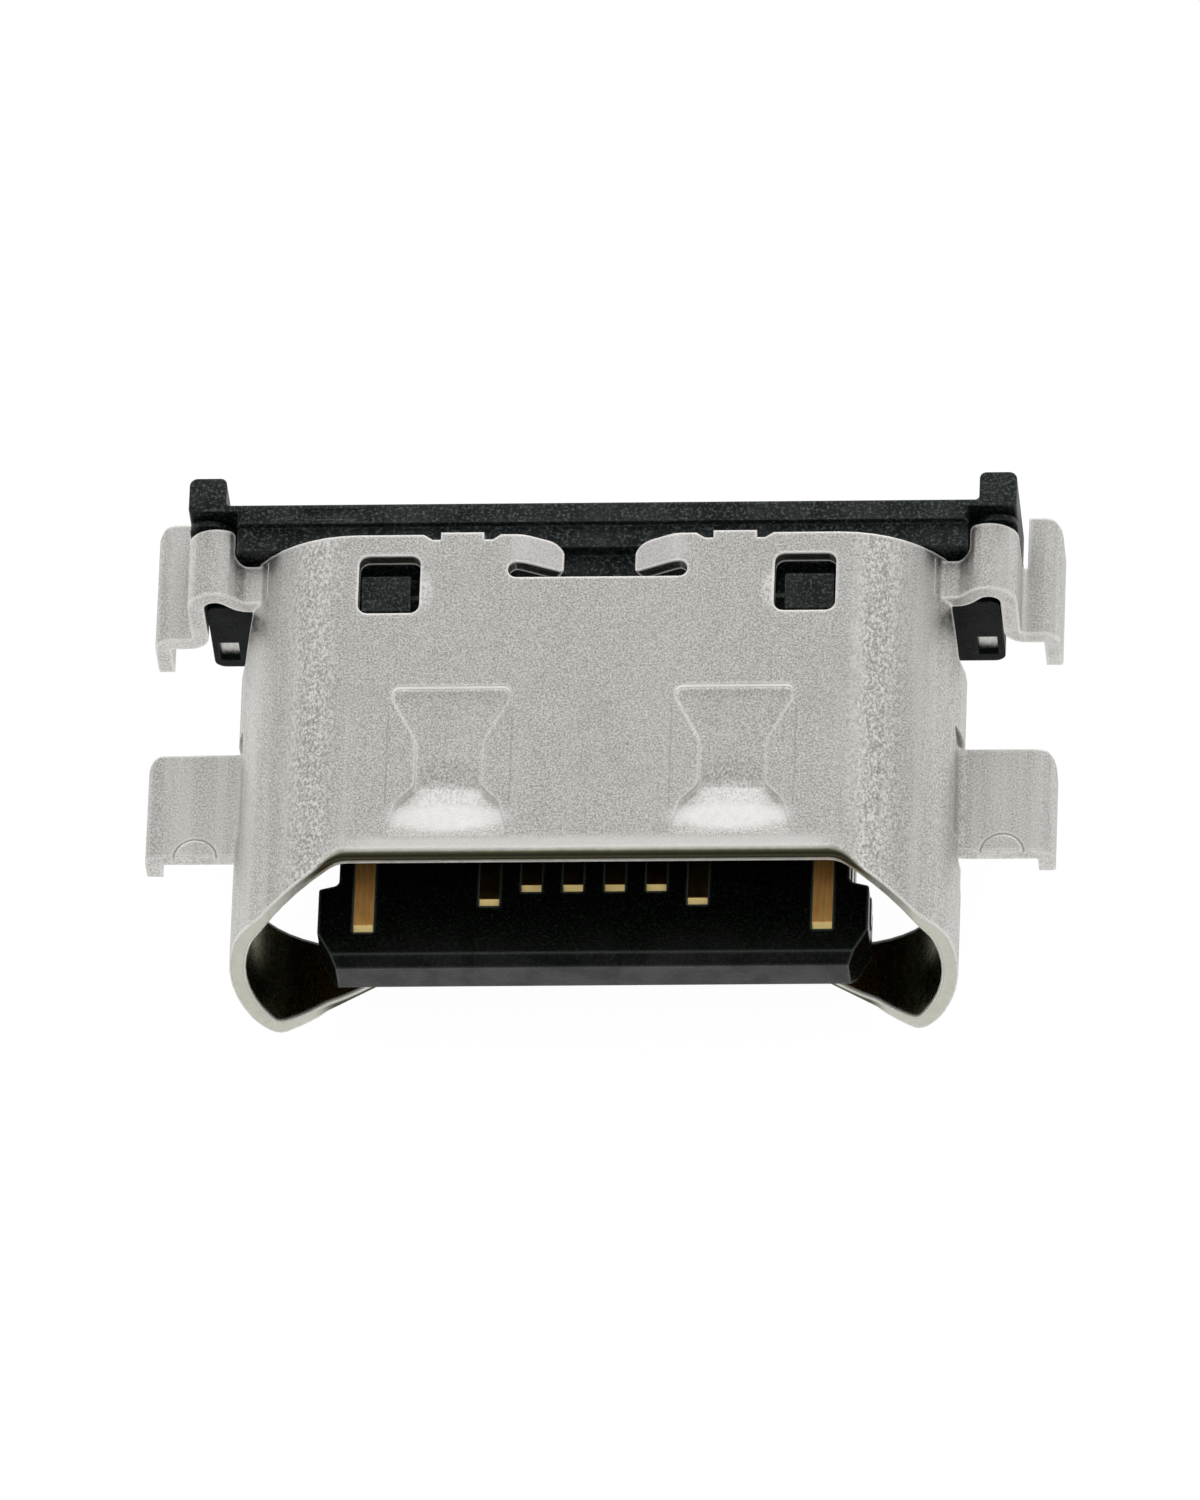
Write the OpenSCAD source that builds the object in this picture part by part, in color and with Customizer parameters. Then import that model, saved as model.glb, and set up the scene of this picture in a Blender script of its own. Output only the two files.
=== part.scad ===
// Mid-mount USB Type-C receptacle with sixteen contacts, in millimetres.
// The origin is the centre of the mouth at the plane of the foremost rim.
// +X is to the right seen from the front, +Y goes into the mouth and +Z is up.

/* [Mouth and shell] */
// Width inside the shell
mouth_w = 8.34; // [8:0.01:8.8]
// Height inside the shell
mouth_h = 2.56; // [2.4:0.01:2.8]
// Thickness of the shell's sheet
sheet = 0.2; // [0.12:0.01:0.25]
// Depth from the foremost rim to the rear edge of the shell
shell_l = 5.4; // [5.2:0.05:6]
// Width of the butt seam in the bottom wall
seam_w = 0.03; // [0.02:0.01:0.08]
// Front end of the dovetail in that seam
seam_key_y = 2.7; // [2:0.05:3]
// Length of the dovetail
seam_key_l = 0.8; // [0.6:0.05:1]
// Width of the dovetail
seam_key_w = 0.3; // [0.2:0.02:0.4]
// Flare of the dovetail on each side
seam_flare = 0.08; // [0.04:0.01:0.12]

/* [Rim] */
// Set-back of the top and bottom lips behind the foremost rim
lip_y = 0.96; // [0.6:0.02:1.2]
// Distance of the top lip's corners from the shell's outer sides
top_lip_in = 1.37; // [1.2:0.01:1.6]
// Radius of the top lip's corners
top_lip_r = 0.4; // [0.2:0.02:0.5]
// Distance of the bottom lip's corners from the shell's outer sides
bottom_lip_in = 1.92; // [1.7:0.01:2.2]
// Radius of the bottom lip's corners
bottom_lip_r = 0.3; // [0.15:0.01:0.4]
// Set-back of the side cheeks at their upper end
cheek_y = 0.33; // [0.1:0.01:0.5]
// Height above the centre at which the cheeks' slope ends
cheek_z = 0.5; // [0.4:0.02:0.6]
// Distance of the foremost point of the cheeks below the centre
cheek_drop = 0.9; // [0.7:0.02:1]
// Width of the cheeks at their front edge, at the top
cheek_w = 0.42; // [0.35:0.01:0.5]
// Length of the rolled-over edge of the lips
roll_y = 0.25; // [0.1:0.01:0.35]
// Height of the rolled-over edge of the lips
roll_z = 0.09; // [0.04:0.01:0.12]

/* [Top wall] */
// Distance of the ground dimples from the middle
dimple_x = 1.7; // [1.5:0.05:2]
// Distance of the dimples from the lips
dimple_gap = 0.24; // [0.2:0.01:0.4]
// Length of a dimple
dimple_l = 2.09; // [1.8:0.01:2.3]
// Width of a dimple at its front end
dimple_w = 1.48; // [1.3:0.02:1.6]
// Depth that the ground dimples are pressed in
dimple_d = 0.07; // [0.03:0.01:0.1]
// Length of the slope at the front of a dimple
dimple_slope = 0.68; // [0.4:0.02:0.8]
// Distance of the latch windows from the middle
window_x = 2.5; // [2.3:0.05:2.8]
// Width of a latch window
window_w = 0.74; // [0.5:0.02:0.9]
// Length of a latch window
window_l = 0.8; // [0.5:0.02:0.9]
// Distance of the latch windows' front edges from the shell's rear edge
window_back = 1.09; // [1:0.01:1.2]
// Half-width of the rear cut-out between the two bent arms
cutout_x = 1.08; // [0.9:0.02:1.15]
// Distance of the cut-out's front edge from the shell's rear edge
cutout_back = 0.6; // [0.5:0.01:0.65]
// Gap between the front edge of the cut-out and the arms
arm_gap = 0.22; // [0.14:0.01:0.26]
// Angle by which the arms are bent down
arm_bend = 28; // [15:1:32]
// Length of the straight end of an arm
arm_l = 0.46; // [0.3:0.02:0.5]
// Distance from the middle to what is left of each carrier strip
stub_x = 1.38; // [1.3:0.01:1.5]
// Width of what is left of a carrier strip
stub_w = 0.52; // [0.4:0.02:0.6]
// Length of what is left of a carrier strip
stub_l = 0.03; // [0.01:0.01:0.06]
// Depth of the nicks beside it
nick_d = 0.07; // [0.04:0.01:0.1]
// Width of the flat floor of a nick
nick_w = 0.1; // [0.06:0.01:0.12]
// Width of the slope out of a nick
nick_ramp = 0.12; // [0.08:0.01:0.14]

/* [Solder feet] */
// Height of the board's top face, on which all four feet stand
board_z = -0.2; // [-0.3:0.02:-0.1]
// Reach of the feet beyond the shell's side
foot_reach = 1.1; // [1:0.01:1.2]
// Front edge of the front feet
front_foot_y = 1.82; // [1.7:0.02:2]
// Length of the front feet along the shell
front_foot_l = 1.4; // [1:0.05:1.5]
// Height at which the front feet leave the shell's side
front_foot_z = 0.5; // [0.4:0.02:0.6]
// Depth of the front feet's turned-down edge below the board's top face
front_tip = 0.28; // [0.15:0.01:0.4]
// Distance of the front feet from the front edge of the windows they were cut from
lance_gap = 0.54; // [0.4:0.02:0.6]
// Reach of those windows past the bend of the bottom wall
lance_in = 0.11; // [0.05:0.01:0.2]
// Slot behind a front foot
relief = 0.06; // [0.04:0.01:0.1]
// Length of the raised slot before a front foot
relief_l = 0.3; // [0.2:0.02:0.4]
// Height of the top of the slot before a front foot
relief_z = 0.26; // [0.15:0.01:0.35]
// Radius of the half-round mark in the front feet
mark_r = 0.27; // [0.15:0.01:0.3]
// Distance of that mark's centre from the outer face of the foot
mark_in = 0.62; // [0.5:0.01:0.7]
// Width of the mark's line
mark_w = 0.02; // [0.01:0.005:0.04]
// Depth of the mark's line
mark_d = 0.05; // [0.02:0.01:0.08]
// Inner radius of the bend between the shell's side and a front foot
root_bend_r = 0.14; // [0.08:0.01:0.18]
// Inner radius of the bend between a rear leg and its foot
bend_r = 0.06; // [0.05:0.01:0.1]
// Inner radius of the feet's turned-down edges
edge_r = 0.02; // [0.01:0.01:0.06]

/* [Rear legs] */
// Distance of the rear legs' front edge from the shell's rear edge
leg_back = 0.57; // [0.5:0.01:0.65]
// Length of the raised hump along the shell
hump_l = 0.91; // [0.8:0.01:1]
// Length of the rear feet along the shell
rear_foot_l = 1.62; // [1.4:0.02:1.8]
// Height of the top of the hump
hump_z = 1.08; // [1:0.01:1.15]
// Reach of the hump beyond the shell's side
hump_reach = 0.63; // [0.6:0.01:0.7]
// Angle at which the strip rises to the hump
rise = 45; // [35:1:50]
// Gap between the shell's side and the inner edge of the hump
neck_gap = 0.06; // [0.03:0.01:0.1]
// Height at which the neck leaves the shell's wall
neck_z = 0.82; // [0.75:0.01:0.9]
// Front edge of the slot that a leg was bent out of, before the leg
slot_gap = 0.63; // [0.5:0.01:0.7]
// Depth of the rear feet's turned-down edge below the board's top face
rear_tip = 0.54; // [0.3:0.02:0.7]

/* [Tongue] */
// Width of the tongue in front of its side notches
tongue_w = 6.6; // [6.4:0.01:6.7]
// Thickness of the tongue
tongue_t = 0.7; // [0.66:0.01:0.74]
// Set-back of the tongue's tip behind the foremost rim
tongue_y = 0.12; // [0:0.01:0.3]
// Width of the bevels at the tongue's front corners
corner_w = 0.23; // [0.15:0.01:0.3]
// Length of the bevels at the tongue's front corners
corner_l = 0.42; // [0.3:0.01:0.5]
// Depth of each side notch for the plug's latches
notch_d = 0.24; // [0.15:0.01:0.3]
// Front end of the side notches
notch_y = 1.14; // [1:0.02:1.3]
// Length of the side notches
notch_l = 1.9; // [1.5:0.05:2.1]
// Height of the bevels along the tip
tip_bevel = 0.13; // [0.08:0.01:0.16]
// Half-height of the thick root of the tongue
root_z = 0.68; // [0.6:0.01:0.75]
// Length of the root in front of the housing
root_out = 0.42; // [0.3:0.01:0.6]
// Length of the root inside the housing
root_in = 0.58; // [0.5:0.01:0.65]
// Width of the root beside the ground plates
root_side = 0.7; // [0.5:0.05:0.8]

/* [Contacts] */
// Distance from one contact to the next
pitch = 0.5; // [0.5:0.005:0.51]
// Width of a contact's blade
blade_w = 0.24; // [0.2:0.01:0.25]
// Width of a contact's tail
tail_w = 0.2; // [0.16:0.01:0.21]
// Thickness of a contact
contact_t = 0.12; // [0.08:0.01:0.13]
// Set-back of the tips of the ground contacts
ground_tip_y = 0.55; // [0.4:0.02:0.6]
// Set-back of the tips of the power contacts
power_tip_y = 0.9; // [0.7:0.02:0.95]
// Set-back of the tips of the signal contacts
signal_tip_y = 1.09; // [0.96:0.02:1.2]
// Drop of the bevel at the tip of a blade
tip_drop = 0.06; // [0.03:0.01:0.08]
// Length of the bevel at the tip of a blade
tip_run = 0.1; // [0.05:0.01:0.15]
// Inner radius of the bends of the contacts
contact_bend_r = 0.06; // [0.04:0.01:0.08]
// Length of the sideways step of the contacts
jog_l = 0.42; // [0.35:0.01:0.45]
// Run of an upper contact before it bends down
upper_riser = 0.36; // [0.3:0.01:0.4]
// Run of a lower contact before it bends up
lower_riser = 0.2; // [0.15:0.01:0.25]
// Length of the contact tails behind the housing
tail_out = 0.42; // [0.3:0.01:0.6]

/* [Plates] */
// Thickness of the plate in the middle of the tongue
mid_t = 0.15; // [0.1:0.01:0.18]
// How far the middle plate shows at the tongue's sides
plate_proud = 0.015; // [0.005:0.005:0.03]
// Distance of the middle plate's front edge from the tongue's tip
plate_in = 0.24; // [0.15:0.01:0.4]
// Length of the middle plate's wings along the shell
wing_l = 0.34; // [0.25:0.01:0.4]
// Reach of the wings beyond the shell's side
wing_reach = 0.33; // [0.25:0.01:0.36]
// Width of the tab turned down at the end of a wing
wing_tab_w = 0.24; // [0.18:0.01:0.3]
// Lower edge of that tab, below the centre
wing_drop = 0.59; // [0.5:0.01:0.62]
// Distance of the wings behind the ears' front face
wing_in = 0.08; // [0.05:0.01:0.12]
// Thickness of the two ground plates on the root
ground_t = 0.1; // [0.06:0.01:0.12]
// Width of the two ground plates
ground_w = 5.8; // [5:0.1:6]
// Height of the lip that each ground plate has down its front
ground_lip = 0.22; // [0.18:0.01:0.26]
// Length of the ground plates inside the housing
ground_in = 0.3; // [0.2:0.01:0.4]

/* [Housing] */
// Distance of the mouth's end wall from the shell's rear edge
base_back = 0.78; // [0.75:0.01:0.9]
// Length of the flange behind the legs' humps
flange_l = 0.26; // [0.24:0.01:0.4]
// Height of the top of the flange and of the ears
top_z = 1.2; // [1.14:0.01:1.25]
// Height of the housing between the shell and the flange
recess_z = 1.1; // [1:0.01:1.15]
// Length of the ears behind the flange
ear_back = 0.38; // [0.3:0.01:0.6]
// Gap between the shell's side and the inner faces of the ears
ear_gap = 0.17; // [0.1:0.01:0.2]
// Reach of the ears beyond the shell's side
ear_reach = 0.62; // [0.55:0.01:0.7]
// Distance of the ears' front face behind the front edge of the legs
ear_in = 0.07; // [0.02:0.01:0.12]
// Height of the ears' lower face in front of the board, below the centre
ear_drop = 0.74; // [0.66:0.02:0.9]
// Step from one to the next of the arches behind a leg
arch_step = 0.06; // [0.05:0.005:0.07]
// Height of the floor of the pockets under the arms and windows
pocket_z = 0.9; // [0.85:0.01:0.95]
// Length of the shallow pad moulded into the flange
pad_l = 0.15; // [0.1:0.01:0.18]
// Width of that pad
pad_w = 0.65; // [0.4:0.05:0.8]
// Depth of that pad
pad_d = 0.03; // [0.02:0.01:0.05]
// Clearance between the housing and the shell
slip = 0.02; // [0.01:0.005:0.03]

/* [Hidden] */
TOP = ["a1", "a4", "a5", "a6", "a7", "a8", "a9", "a12"];
BOTTOM = ["b12", "b9", "b8", "b7", "b6", "b5", "b4", "b1"];
CONTACTS = concat(TOP, BOTTOM);

$fn = 72;
EPS = 0.01;           // overlap that makes two joined volumes one
FAR = 20;             // longer than any cut has to be
ARC_STEP = 15;        // angle between two points of a drawn arc

mouth_r = mouth_h / 2;
shell_r = mouth_r + sheet;
flat_x = mouth_w / 2 - mouth_r;          // half-width of the flat walls
wall_mid = mouth_r + sheet / 2;          // radius of the middle of the sheet
side_x = mouth_w / 2 + sheet;            // outer face of the shell's side

top_lip_x = side_x - top_lip_in;
bottom_lip_x = side_x - bottom_lip_in;
cheek_x = side_x - cheek_w;              // where the top lip's slope meets the cheeks
CHEEK_UP = 0.08;                         // start of the top lip's cut over the cheeks' slope
ROLL_STEPS = 6;
// Bends of the bottom lip between its corner and the cheek
BOTTOM_BENDS = [[side_x - 1.07, lip_y / 2, 0.6], [side_x - 0.52, 0, 0.3]];
TOP_BENDS = [[cheek_x, cheek_y, 0.3]];

// A dimple's half outline from its front to its rear, in parts of its half-width
// and length, each with the radius of its corner
DIMPLE = [
    [1, 0, 0.1], [0.84, 0.23, 0.3], [0.54, 0.34, 0.12],
    [0.54, 0.64, 0.3], [0.95, 0.92, 0.15], [0.95, 1, 0.08]
];
dimple_y = lip_y + dimple_gap;
window_y = shell_l - window_back;
window_round = 0.12;                     // corners of the latch windows
cutout_y = shell_l - cutout_back;
arm_x = cutout_x - 0.08;                 // where the arms start to bend
arm_r = 0.25;                            // middle radius of that bend
arm_round = 0.2;                         // rear corners of the arms' ends
arm_trim = 0.06;                         // what the round corners take off the arms' ends

foot_x = side_x + foot_reach;
foot_top = board_z + sheet;
foot_mid = board_z + sheet / 2;
bend_mid = bend_r + sheet / 2;
edge_mid = edge_r + sheet / 2;
root_mid = root_bend_r + sheet / 2;
foot_round = 0.18;                       // outer rear corners of the feet
foot_nip = 0.03;                         // outer front corners of the feet
root_run = 0.1;                          // stretch of a foot's or leg's strip inside the wall
root_turn = 0.15;                        // middle radius of the bend at a front foot's start
lance_x = flat_x + lance_in;
lance_y = front_foot_y - lance_gap;
lance_z = foot_mid + bend_mid;           // top of the windows before the front feet
cut_round = 0.1;                         // corners of the cuts around the feet

leg_y = shell_l - leg_back;
leg_end = leg_y + hump_l;
hump_x = side_x + hump_reach;
neck_x = side_x + neck_gap;
slot_y = leg_y - slot_gap;
rise_r = 0.2;                            // middle radius of the bend at the rise's foot
hump_r = 0.24;                           // middle radius of the hump's shoulders
neck_r = 0.15;                           // middle radius of the bend between wall and neck
neck_trim = 0.06;                        // gap between the neck and the shell's rear edge

base_y = shell_l - base_back;
root_y = base_y - root_out;
root_l = base_y + root_in;
root_x = ground_w / 2 + root_side;

tail_mid = board_z + contact_t / 2;      // middle of the tails on the board
jog_y = base_y + 0.08;                   // where a contact starts to step sideways
jog_end = jog_y + jog_l;                 // where it has reached its tail's place
riser_r = contact_bend_r + contact_t / 2;

flange_y = leg_end;
housing_l = flange_y + flange_l;
tail_y = housing_l + tail_out;
ear_l = housing_l + ear_back;
ear_x = side_x + ear_gap;
ear_out = side_x + ear_reach;
ear_front = leg_y + ear_in;
ear_inside = hump_x - sheet - slip;      // outer face of the ears under the legs
wing_x = side_x + wing_reach;
wing_y = ear_front + wing_in;
wing_top = wing_drop - 0.41;             // upper edge of the tab's window, below the centre
body_r = mouth_r - slip;
belly_x = flat_x + 0.4;                  // half-width of the housing's underside

// The eight contact places of a row, in pitches from the middle
PLACES = [-5.5, -2.5, -1.5, -0.5, 0.5, 1.5, 2.5, 5.5];
// Tail places of the upper and the lower row, likewise
TOP_TAILS = [-6.7, -4.5, -2.5, -0.5, 0.5, 2.5, 4.5, 6.7];
BOTTOM_TAILS = [-6.1, -5.1, -3.5, -1.5, 1.5, 3.5, 5.1, 6.1];
TIPS = [ground_tip_y, power_tip_y, signal_tip_y, signal_tip_y,
        signal_tip_y, signal_tip_y, power_tip_y, ground_tip_y];

// ---- Outlines -------------------------------------------------------------

// Stations [x, y, heading] along a strip that runs and bends: each move is
// [length of the run, angle of the bend, middle radius of the bend]
function walk(p, a, moves, i = 0) =
    i == len(moves) ? [[p.x, p.y, a]] :
    let (
        run = moves[i][0],
        turn = moves[i][1],
        side = sign(turn),
        r = moves[i][2] * side,
        q = p + run * [cos(a), sin(a)],
        c = q + r * [-sin(a), cos(a)],
        n = ceil(abs(turn) / ARC_STEP),
        bend = [for (k = [0 : 1 : n - 1]) let (b = a + turn * k / n)
            [c.x + r * sin(b), c.y - r * cos(b), b]],
        end = c + r * [sin(a + turn), -cos(a + turn)]
    )
    concat(run > 0 ? [[p.x, p.y, a]] : [], bend, walk(end, a + turn, moves, i + 1));

// Outline of a strip of thickness t whose middle follows the stations
function strip(s, t) = concat(
    [for (k = s) [k.x - sin(k[2]) * t / 2, k.y + cos(k[2]) * t / 2]],
    [for (i = [len(s) - 1 : -1 : 0]) [s[i].x + sin(s[i][2]) * t / 2, s[i].y - cos(s[i][2]) * t / 2]]
);

// Points of an arc of radius r that rounds the corner b between a and c
function corner(a, b, c, r) =
    let (
        u = (a - b) / norm(a - b),
        v = (c - b) / norm(c - b),
        angle = acos(u * v),
        m = b + (u + v) / norm(u + v) * r / sin(angle / 2),
        from = b + u * r / tan(angle / 2) - m,
        to = b + v * r / tan(angle / 2) - m,
        sweep = 180 - angle,
        n = max(2, ceil(sweep / ARC_STEP))
    )
    [for (k = [0 : n]) m + (from * sin(sweep * (1 - k / n)) + to * sin(sweep * k / n)) / sin(sweep)];

// Closed outline whose corners are rounded, each by the third number of its point
function rounded(p) = [
    for (i = [0 : len(p) - 1])
        let (
            a = p[(i + len(p) - 1) % len(p)],
            c = p[(i + 1) % len(p)],
            b = [p[i].x, p[i].y]
        )
        each (p[i][2] > 0 ? corner([a.x, a.y], b, [c.x, c.y], p[i][2]) : [b])
];

// Where a part of the wall's middle lies at height z, and how it slopes there
function wall_x(z) = flat_x + sqrt(wall_mid * wall_mid - z * z);
function wall_heading(z) = asin(z / wall_mid) - 90;
neck_mid = neck_z - neck_r * (1 - cos(wall_heading(neck_z)));
neck_under = neck_mid - sheet / 2;

// ---- Helpers --------------------------------------------------------------

module both_sides() {
    children();
    mirror([1, 0, 0]) children();
}

module both_rows() {
    children();
    mirror([0, 0, 1]) children();
}

// Extrudes an outline drawn in X and Z along Y, from one y to another
module along_y(y0, y1) {
    translate([0, y1, 0]) rotate([90, 0, 0]) linear_extrude(y1 - y0) children();
}

// Extrudes an outline drawn in Y and Z along X, from one x to another
module along_x(x0, x1) {
    translate([x0, 0, 0]) rotate([90, 0, 90]) linear_extrude(x1 - x0) children();
}

// Extrudes an outline drawn in X and Y upwards, from one z to another
module along_z(z0, z1) {
    translate([0, 0, z0]) linear_extrude(z1 - z0) children();
}

module box(from, to) {
    translate(from) cube(to - from);
}

// Section of the shell or of what fills it: two half rounds and a flat middle
module stadium(r) {
    translate([-flat_x, 0]) circle(r);
    translate([flat_x, 0]) circle(r);
    translate([-flat_x, -r]) square([2 * flat_x, 2 * r]);
}

// ---- Shell ----------------------------------------------------------------

// The tube, with its lips cut back and its cheeks sloped
module shell_tube() {
    difference() {
        along_y(0, shell_l) difference() {
            stadium(shell_r);
            stadium(mouth_r);
        }
        along_z(cheek_z + CHEEK_UP, FAR)
            polygon(lip_outline(top_lip_x, top_lip_r, TOP_BENDS, cheek_y));
        along_z(-FAR, -cheek_z)
            polygon(lip_outline(bottom_lip_x, bottom_lip_r, BOTTOM_BENDS, 0));
        along_x(-FAR, FAR) polygon(cheek_outline());
        lip_roll(top_lip_x, top_lip_r, TOP_BENDS[0]);
        mirror([0, 0, 1]) lip_roll(bottom_lip_x, bottom_lip_r, BOTTOM_BENDS[0]);
    }
}

// What is cut off in front of a lip, seen from above
function lip_outline(x, r, bends, end_y) = rounded(concat(
    [[-FAR, -1, 0], [FAR, -1, 0], [FAR, end_y, 0]],
    [for (i = [len(bends) - 1 : -1 : 0]) bends[i]],
    [[x, lip_y, r], [-x, lip_y, r]],
    [for (b = bends) [-b.x, b.y, b[2]]],
    [[-FAR, end_y, 0]]
));

// What is cut off in front of the cheeks, seen from the side
function cheek_outline() = rounded([
    [-1, -FAR, 0], [0, -FAR, 0], [0, -cheek_drop, 1.2],
    [cheek_y, cheek_z, 0.6], [cheek_y, FAR, 0], [-1, FAR, 0]
]);

// What the roll takes off behind a lip's edge, which is at the section's zero
module roll_section() {
    polygon(concat(
        [[-FAR, shell_r - roll_z]],
        [for (k = [0 : ROLL_STEPS]) let (a = 90 * k / ROLL_STEPS)
            [roll_y * (1 - cos(a)), shell_r - roll_z * (1 - sin(a))]],
        [[roll_y, shell_r + 1], [-FAR, shell_r + 1]]
    ));
}

// Rolls over the outer edge of a lip: along its straight part, around its two
// corners of radius r, and along the slopes toward the first bend
module lip_roll(x, r, bend) {
    a = atan2(lip_y - bend.y, bend.x - x);
    n = max(2, ceil(a / ARC_STEP));
    centre = x - r * tan(a / 2);
    intersection_for (side = [-1, 1]) intersection_for (k = [0 : n + 1]) {
        turn = k == 0 ? 0 : k > n ? a : (k - 0.5) * a / n;
        away = k == 0 || k > n ? r : r * cos(a / n / 2);
        translate([side * centre, lip_y - r, 0]) rotate([0, 0, -side * turn])
            along_x(-FAR, FAR) translate([away, 0]) roll_section();
    }
}

// Dimple seen from above: a wide end, a neck and a wide foot toward the lip
function dimple_outline() = rounded(concat(
    [for (p = DIMPLE) [p.x * dimple_w / 2, dimple_y + p.y * dimple_l, p[2]]],
    [for (i = [len(DIMPLE) - 1 : -1 : 0])
        [-DIMPLE[i].x * dimple_w / 2, dimple_y + DIMPLE[i].y * dimple_l, DIMPLE[i][2]]]
));

// Pressed-in volume of a ground dimple, under the face at height z
module dimple(z) {
    end_y = dimple_y + dimple_l + 1;
    intersection() {
        along_z(z - 2 * dimple_d, z + EPS) polygon(dimple_outline());
        along_x(-dimple_w, dimple_w) polygon([
            [0, z + EPS], [0, z], [dimple_y + 0.02, z], [dimple_y + 0.02 + dimple_slope, z - dimple_d],
            [end_y, z - dimple_d], [end_y, z + EPS]
        ]);
    }
}

// Latch windows, the rear cut-out and the nicks of the rear edge
module top_cuts() {
    gap_r = arm_gap * 0.48;
    back = cutout_y + arm_gap;
    both_sides() {
        along_z(0, FAR) {
            translate([window_x, window_y]) polygon(rounded([
                [-window_w / 2, 0, window_round], [window_w / 2, 0, window_round],
                [window_w / 2, window_l, window_round], [-window_w / 2, window_l, window_round]
            ]));
            nick(stub_x, -1);
            nick(stub_x + stub_w, 1);
        }
    }
    along_z(0, FAR) {
        polygon(rounded([
            [-cutout_x, cutout_y, gap_r], [cutout_x, cutout_y, gap_r],
            [cutout_x, back, gap_r], [-cutout_x, back, gap_r]
        ]));
        translate([-arm_x, cutout_y + arm_gap / 2]) square([2 * arm_x, FAR]);
    }
}

// Nick beside a carrier strip: a step, a flat floor and a slope out of it
module nick(x, side) {
    translate([x, shell_l]) polygon([
        [0, EPS], [0, -nick_d], [side * nick_w, -nick_d], [side * (nick_w + nick_ramp), EPS]
    ]);
}

// Arm that is bent down behind the cut-out to hold the housing
module arm() {
    path = walk([arm_x + EPS, mouth_r + sheet / 2], 180, [[EPS, arm_bend, arm_r], [arm_l, 0, 0]]);
    tip = path[len(path) - 1].x - arm_trim;
    intersection() {
        along_y(cutout_y + arm_gap, shell_l) polygon(strip(path, sheet));
        along_z(0, FAR) polygon(rounded([
            [tip, cutout_y + arm_gap, arm_trim], [arm_x + 1, cutout_y + arm_gap, 0],
            [arm_x + 1, shell_l, 0], [tip, shell_l, arm_round]
        ]));
    }
}

// Front foot: the wall is lanced and bent out flat, and its edge is turned down
module front_foot() {
    z = front_foot_z;
    a = wall_heading(z);
    from_x = wall_x(z) + root_turn * (1 - cos(a + 90));
    from_z = z - root_turn * sin(a + 90);
    path = walk([wall_x(z), z] - root_run * [cos(a), sin(a)], a, [
        [root_run, -90 - a, root_turn],
        [from_z - foot_mid - root_mid, 90, root_mid],
        [foot_x - sheet / 2 - edge_mid - from_x - root_mid, -90, edge_mid],
        [sheet / 2 + front_tip - edge_mid, 0, 0]
    ]);
    difference() {
        intersection() {
            along_y(front_foot_y, front_foot_y + front_foot_l) polygon(strip(path, sheet));
            foot_plan(front_foot_y, front_foot_l);
        }
        shear_mark();
    }
}

// Keeps the outer rear corner of a foot round
module foot_plan(y, l) {
    along_z(-FAR, FAR) polygon(rounded([
        [0, y, 0], [foot_x, y, foot_nip], [foot_x, y + l, foot_round], [0, y + l, 0]
    ]));
}

// Half-round line that the punch left in the top face of a front foot
module shear_mark() {
    translate([foot_x - mark_in, front_foot_y - foot_nip, foot_top - mark_d]) difference() {
        cylinder(h = FAR, r = mark_r);
        translate([0, 0, -EPS]) cylinder(h = FAR + 1, r = mark_r - mark_w);
    }
}

// What the front foot was cut from: a window in the side and bottom walls
module lance_window() {
    back = front_foot_y + front_foot_l + relief;
    along_z(-FAR, lance_z) polygon(rounded([
        [lance_x, lance_y, cut_round], [FAR, lance_y, 0], [FAR, back, 0], [lance_x, back, cut_round]
    ]));
    along_x(flat_x, FAR) {
        polygon(rounded([
            [front_foot_y - relief_l, -1, 0], [front_foot_y + EPS, -1, 0],
            [front_foot_y + EPS, relief_z, 0], [front_foot_y - relief_l, relief_z, cut_round]
        ]));
        translate([front_foot_y, -1]) square([front_foot_l + relief, 1 + front_foot_z]);
    }
}

// Path of a rear leg seen from the front: neck, hump, upright, foot and edge
function leg_path() =
    let (
        a = -wall_heading(neck_z),
        climb = (hump_z - sheet / 2 - neck_mid - (rise_r + hump_r) * (1 - cos(rise))) / sin(rise),
        neck_l = hump_x - sheet / 2 - wall_x(neck_z) - neck_r * sin(a)
            - (rise_r + hump_r) * sin(rise) - climb * cos(rise) - hump_r
    )
    walk([wall_x(neck_z), neck_z] - root_run * [cos(a), -sin(a)], -a, [
        [root_run, a, neck_r],
        [neck_l, rise, rise_r],
        [climb, -rise - 90, hump_r],
        [hump_z - sheet / 2 - hump_r - foot_mid - bend_mid, 90, bend_mid],
        [foot_x - edge_mid - hump_x - bend_mid, -90, edge_mid],
        [sheet / 2 + rear_tip - edge_mid, 0, 0]
    ]);

// Rear leg, cut out of a strip that is narrow at the neck and wide at the foot
module rear_leg() {
    foot_from = hump_x + bend_r;
    intersection() {
        along_y(leg_y, leg_y + rear_foot_l) polygon(strip(leg_path(), sheet));
        along_z(-FAR, FAR) polygon(rounded([
            [0, leg_y, 0], [foot_x, leg_y, foot_nip], [foot_x, leg_y + rear_foot_l, foot_round],
            [foot_from, leg_y + rear_foot_l, 0], [foot_from, leg_end, foot_nip],
            [neck_x, leg_end, 0.06], [neck_x, shell_l - neck_trim, 0.12], [0, shell_l - neck_trim, 0]
        ]));
    }
}

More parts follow.
